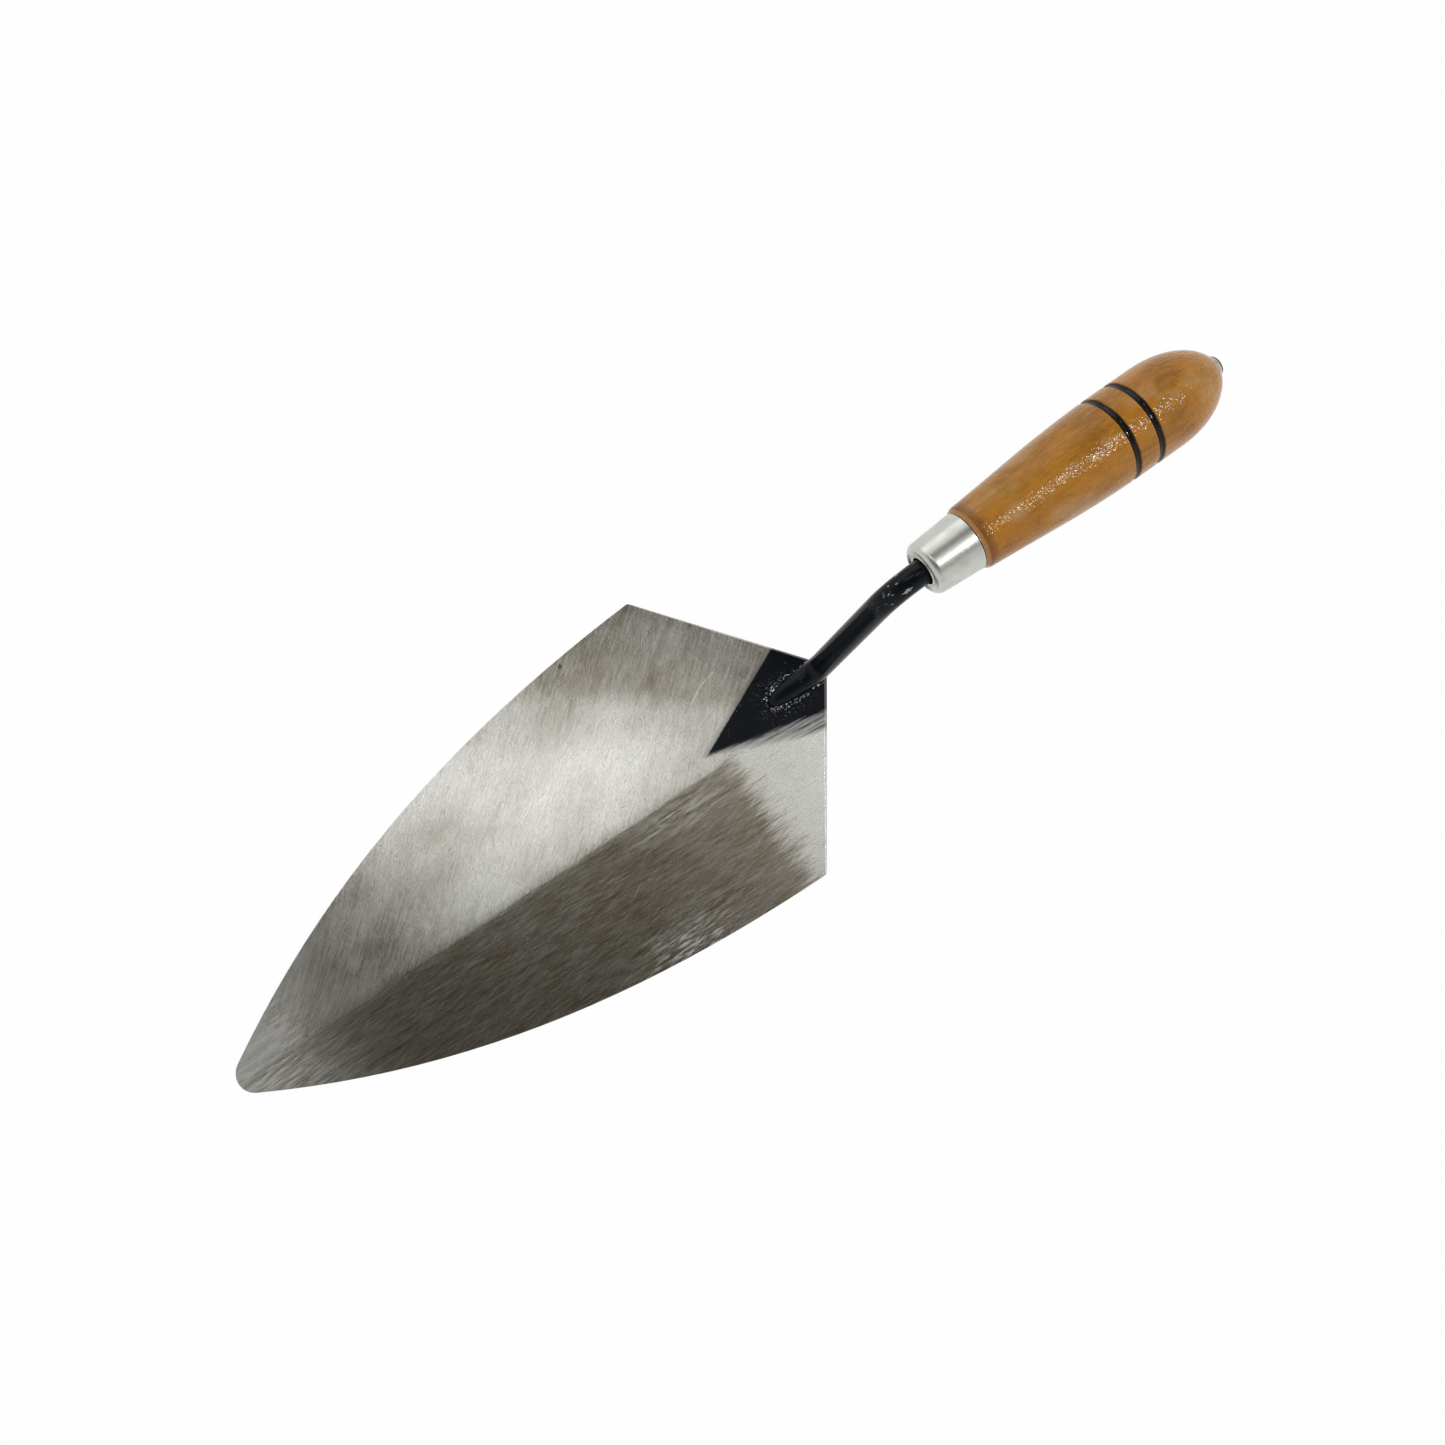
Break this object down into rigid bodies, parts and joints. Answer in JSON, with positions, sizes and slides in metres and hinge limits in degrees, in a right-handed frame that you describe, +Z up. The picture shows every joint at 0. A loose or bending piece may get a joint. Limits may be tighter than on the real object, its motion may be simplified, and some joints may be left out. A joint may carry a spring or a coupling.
{
  "type": "brick trowel",
  "caption": "Brick trowel with a pointed taper-ground steel blade, welded gooseneck shank, metal ferrule and turned wooden handle.",
  "frame": {"origin": "on the flat underside of the blade, on the centre line, at the blade's widest line", "axes": "+X along the centre line towards the handle, the blade's point is at -X; +Z up, away from the surface that the blade lies on; +Y to the side"},
  "size_m": [0.416, 0.1228, 0.0716],
  "materials": {
    "blade_steel": "ground steel with fine strokes, black enamel over the heel",
    "black_enamel": "gloss black enamel, dipped",
    "painted_weld": "weld bead under thin gloss black enamel",
    "plated_steel": "satin zinc plate",
    "varnished_wood": "clear gloss varnish, two black painted grooves"
  },
  "bodies": {
    "root": {"blade": "blade_steel", "shank": "black_enamel", "weld_left": "painted_weld", "weld_right": "painted_weld", "ferrule": "plated_steel", "handle": "varnished_wood", "butt_washer": "plated_steel"}
  },
  "joints": []
}
